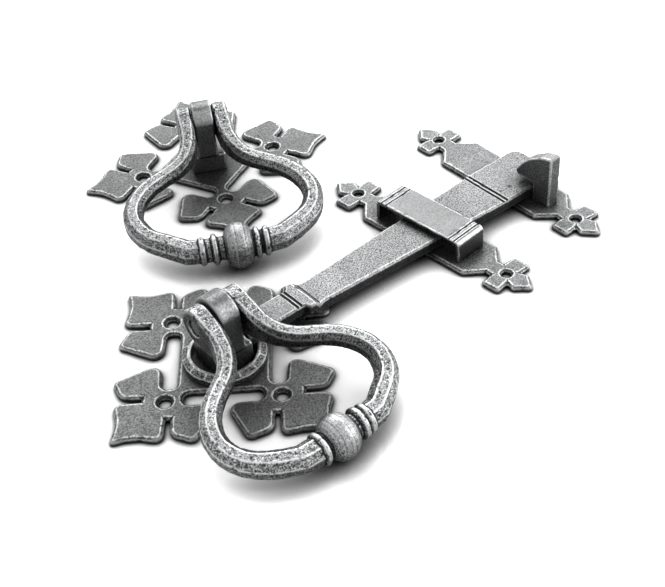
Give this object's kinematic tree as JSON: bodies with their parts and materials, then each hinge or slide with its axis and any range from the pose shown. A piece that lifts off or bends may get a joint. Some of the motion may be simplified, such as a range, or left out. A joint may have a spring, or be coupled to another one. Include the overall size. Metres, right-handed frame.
{
  "type": "suffolk latch",
  "caption": "Suffolk door latch: ring handles on pierced roses turn a latch bar that rises through a staple and drops behind a hooked catch.",
  "frame": {"origin": "on the turning axis of the inner handle, at the back of its rose", "axes": "+X along the latch bar towards the catch, +Y up the door, +Z out of the door"},
  "size_m": [0.2367, 0.2464, 0.0346],
  "materials": {
    "rose_plate": "dark pewter patina with bright worn bevels",
    "small_plate": "dark pewter patina with bright worn bevels",
    "collar": "dark pewter patina, worn facets",
    "post": "dark burnished patina",
    "ring": "hammered and mottled pewter patina with bright facet edges",
    "pin": "dark worn steel",
    "washer": "plain steel",
    "bar": "fine-grained pewter patina with worn edges",
    "bridge": "smooth pewter patina with dark grooves",
    "hook": "dark pewter patina with worn edges"
  },
  "bodies": {
    "fixed_plates": {"inner_rose": "rose_plate", "inner_collar": "collar", "outer_rose": "rose_plate", "staple_plate": "small_plate", "staple_bridge": "bridge", "catch_plate": "small_plate", "catch_hook": "hook"},
    "inner_handle": {"inner_post": "post", "inner_washer": "washer", "inner_ring_pin": "pin", "latch_bar": "bar"},
    "inner_ring_handle": {"inner_ring": "ring"},
    "outer_handle": {"outer_post": "post", "outer_washer": "washer", "outer_ring_pin": "pin"},
    "outer_ring_handle": {"outer_ring": "ring"}
  },
  "joints": [
    {"name": "inner_handle_turn", "type": "hinge", "parent": "fixed_plates", "child": "inner_handle", "pos_m": [0, 0, 0], "axis": [0, 0, 1], "range_deg": [0, 6]},
    {"name": "outer_handle_turn", "type": "hinge", "parent": "fixed_plates", "child": "outer_handle", "pos_m": [0.0747, 0.1139, 0], "axis": [0, 0, 1], "range_deg": [-6, 0]},
    {"name": "inner_ring_swing", "type": "hinge", "parent": "inner_handle", "child": "inner_ring_handle", "pos_m": [0, 0, 0.0248], "axis": [-1, 0, 0], "range_deg": [0, 180]},
    {"name": "outer_ring_swing", "type": "hinge", "parent": "outer_handle", "child": "outer_ring_handle", "pos_m": [0.0747, 0.1139, 0.0248], "axis": [-0.8813, 0.4726, 0], "range_deg": [0, 180]}
  ],
  "couplings": [
    {"joint": "outer_handle_turn", "follows": "inner_handle_turn", "ratio": -1}
  ]
}
